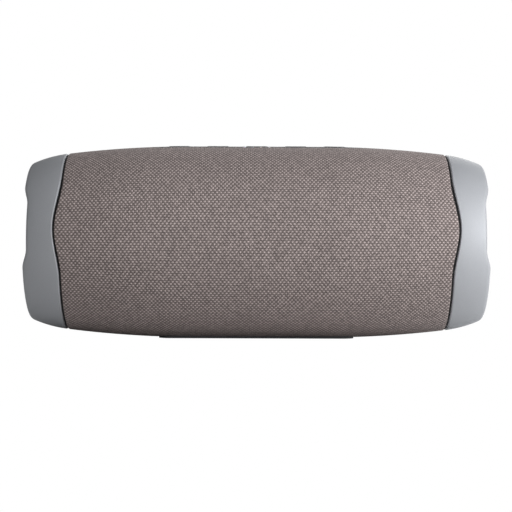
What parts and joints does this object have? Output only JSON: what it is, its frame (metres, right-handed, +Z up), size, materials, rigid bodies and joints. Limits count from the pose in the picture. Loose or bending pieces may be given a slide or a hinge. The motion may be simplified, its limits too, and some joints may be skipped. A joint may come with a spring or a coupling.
{
  "type": "portable bluetooth speaker",
  "caption": "Barrel-shaped portable bluetooth speaker wrapped in woven fabric, with moulded end rings, passive radiators, top buttons and a rear port cover.",
  "frame": {"origin": "middle of the foot's underside, on the surface that the speaker stands on", "axes": "+X along the barrel to its right end, -Y towards the listener, +Z up"},
  "size_m": [0.22, 0.0934, 0.0938],
  "materials": {
    "woven_fabric": "plain weave, grey-brown",
    "silver_plastic": "satin silver-grey moulded",
    "black_plastic": "moulded black",
    "black_rubber": "moulded matt",
    "grey_rubber": "soft-touch grey",
    "zinc_steel": "zinc-plated",
    "spun_aluminium": "spun and anodised",
    "ferrite": "sintered",
    "copper_wire": "enamelled winding",
    "treated_cloth": "resin-dipped",
    "paper_cone": "pressed paper",
    "frosted_plastic": "frosted light guide",
    "circuit_board": "solder mask",
    "chip_resin": "moulded",
    "battery_wrap": "shrink wrapped",
    "lead_insulation": "extruded"
  },
  "bodies": {
    "housing": {"amplifier_chips": "chip_resin", "aux_socket": "black_plastic", "battery_cell_front": "battery_wrap", "battery_cell_rear": "battery_wrap", "battery_cradle": "black_plastic", "board_capacitors": "chip_resin", "button_board": "circuit_board", "button_frame": "grey_rubber", "button_switches": "black_plastic", "driver_basket_left": "zinc_steel", "driver_basket_right": "zinc_steel", "driver_magnet_left": "ferrite", "driver_magnet_right": "ferrite", "driver_spider_left": "treated_cloth", "driver_spider_right": "treated_cloth", "driver_surround_left": "black_rubber", "driver_surround_right": "black_rubber", "driver_yoke_left": "zinc_steel", "driver_yoke_right": "zinc_steel", "enclosure_screws": "zinc_steel", "end_ring_left": "silver_plastic", "end_ring_right": "silver_plastic", "fabric_sleeve": "woven_fabric", "foot_pad": "grey_rubber", "front_enclosure": "black_plastic", "grille_front": "black_plastic", "grille_rear": "black_plastic", "internal_leads": "lead_insulation", "light_guide": "frosted_plastic", "main_board": "circuit_board", "port_cover_pin": "zinc_steel", "port_panel": "black_plastic", "radiator_frame_left": "black_plastic", "radiator_frame_right": "black_plastic", "radiator_screws": "zinc_steel", "radiator_surround_left": "black_rubber", "radiator_surround_right": "black_rubber", "radio_shield": "zinc_steel", "rear_enclosure": "black_plastic", "seam_seal_left": "black_rubber", "seam_seal_right": "black_rubber", "usb_socket": "zinc_steel"},
    "radiator_left": {"radiator_plate_left": "black_plastic", "radiator_weight_left": "zinc_steel", "radiator_cap_left": "spun_aluminium"},
    "cone_left": {"driver_cone_left": "paper_cone", "driver_voice_coil_left": "copper_wire"},
    "radiator_right": {"radiator_plate_right": "black_plastic", "radiator_weight_right": "zinc_steel", "radiator_cap_right": "spun_aluminium"},
    "cone_right": {"driver_cone_right": "paper_cone", "driver_voice_coil_right": "copper_wire"},
    "power_button": {"power_button": "grey_rubber"},
    "pairing_button": {"pairing_button": "grey_rubber"},
    "volume_down_button": {"volume_down_button": "grey_rubber"},
    "volume_up_button": {"volume_up_button": "grey_rubber"},
    "play_button": {"play_button": "grey_rubber"},
    "port_cover": {"port_cover": "grey_rubber"}
  },
  "joints": [
    {"name": "radiator_left_stroke", "type": "slide", "parent": "housing", "child": "radiator_left", "axis": [-1, 0, 0], "range_m": [-0.0025, 0.0025], "stiffness_N_per_m": 1200, "deforming": ["radiator_surround_left"]},
    {"name": "cone_left_stroke", "type": "slide", "parent": "housing", "child": "cone_left", "axis": [0, -1, 0], "range_m": [-0.0015, 0.0015], "stiffness_N_per_m": 1200, "deforming": ["driver_surround_left", "driver_spider_left"]},
    {"name": "radiator_right_stroke", "type": "slide", "parent": "housing", "child": "radiator_right", "axis": [1, 0, 0], "range_m": [-0.0025, 0.0025], "stiffness_N_per_m": 1200, "deforming": ["radiator_surround_right"]},
    {"name": "cone_right_stroke", "type": "slide", "parent": "housing", "child": "cone_right", "axis": [0, -1, 0], "range_m": [-0.0015, 0.0015], "stiffness_N_per_m": 1200, "deforming": ["driver_surround_right", "driver_spider_right"]},
    {"name": "power_button_press", "type": "slide", "parent": "housing", "child": "power_button", "axis": [0, 0, -1], "range_m": [0, 0.0006], "stiffness_N_per_m": 1500, "springref_m": -0.0004},
    {"name": "pairing_button_press", "type": "slide", "parent": "housing", "child": "pairing_button", "axis": [0, 0, -1], "range_m": [0, 0.0006], "stiffness_N_per_m": 1500, "springref_m": -0.0004},
    {"name": "volume_down_button_press", "type": "slide", "parent": "housing", "child": "volume_down_button", "axis": [0, 0, -1], "range_m": [0, 0.0006], "stiffness_N_per_m": 1500, "springref_m": -0.0004},
    {"name": "volume_up_button_press", "type": "slide", "parent": "housing", "child": "volume_up_button", "axis": [0, 0, -1], "range_m": [0, 0.0006], "stiffness_N_per_m": 1500, "springref_m": -0.0004},
    {"name": "play_button_press", "type": "slide", "parent": "housing", "child": "play_button", "axis": [0, 0, -1], "range_m": [0, 0.0006], "stiffness_N_per_m": 1500, "springref_m": -0.0004},
    {"name": "port_cover_hinge", "type": "hinge", "parent": "housing", "child": "port_cover", "pos_m": [0, 0.04349, 0.0347], "axis": [-1, 0, 0], "range_deg": [0, 75]}
  ]
}
